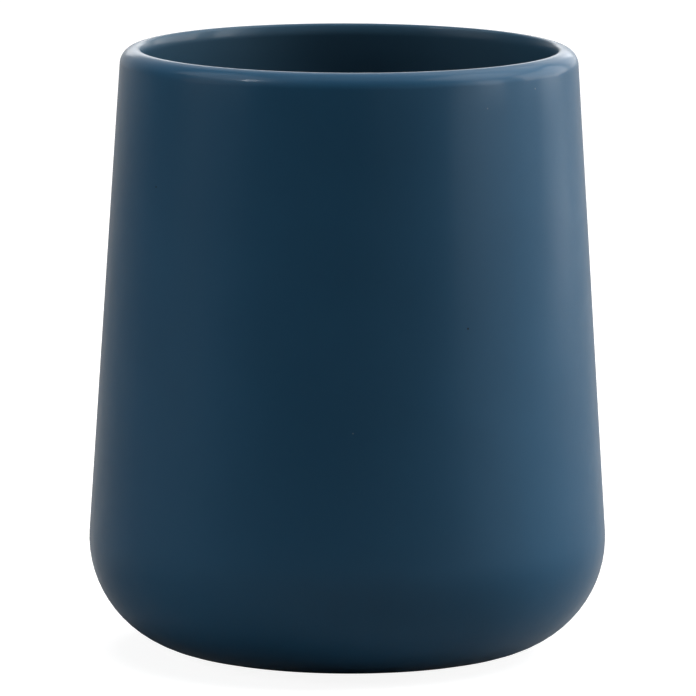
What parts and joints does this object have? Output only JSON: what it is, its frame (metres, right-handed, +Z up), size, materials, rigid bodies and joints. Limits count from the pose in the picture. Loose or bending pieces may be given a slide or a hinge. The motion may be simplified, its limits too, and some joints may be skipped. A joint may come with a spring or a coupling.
{
  "type": "bathroom tumbler",
  "caption": "Tapered round ceramic tumbler with a rounded lip and a softly rounded base, satin glazed inside and out, on a foam pad; holds toothbrushes or rinsing water.",
  "frame": {"origin": "middle of the foam pad's underside, on the surface that the tumbler stands on", "axes": "+Z up along the vessel's axis to the mouth; the vessel is turned about +Z, so +X and +Y are free"},
  "size_m": [0.085, 0.085, 0.1],
  "materials": {
    "bare_clay": "matte",
    "outer_glaze": "satin",
    "inner_glaze": "satin",
    "adhesive": "satin",
    "pad_foam": "matte"
  },
  "bodies": {
    "root": {"ceramic_body": "bare_clay", "outer_glaze": "outer_glaze", "inner_glaze": "inner_glaze", "pad_adhesive": "adhesive", "base_pad": "pad_foam"}
  },
  "joints": []
}
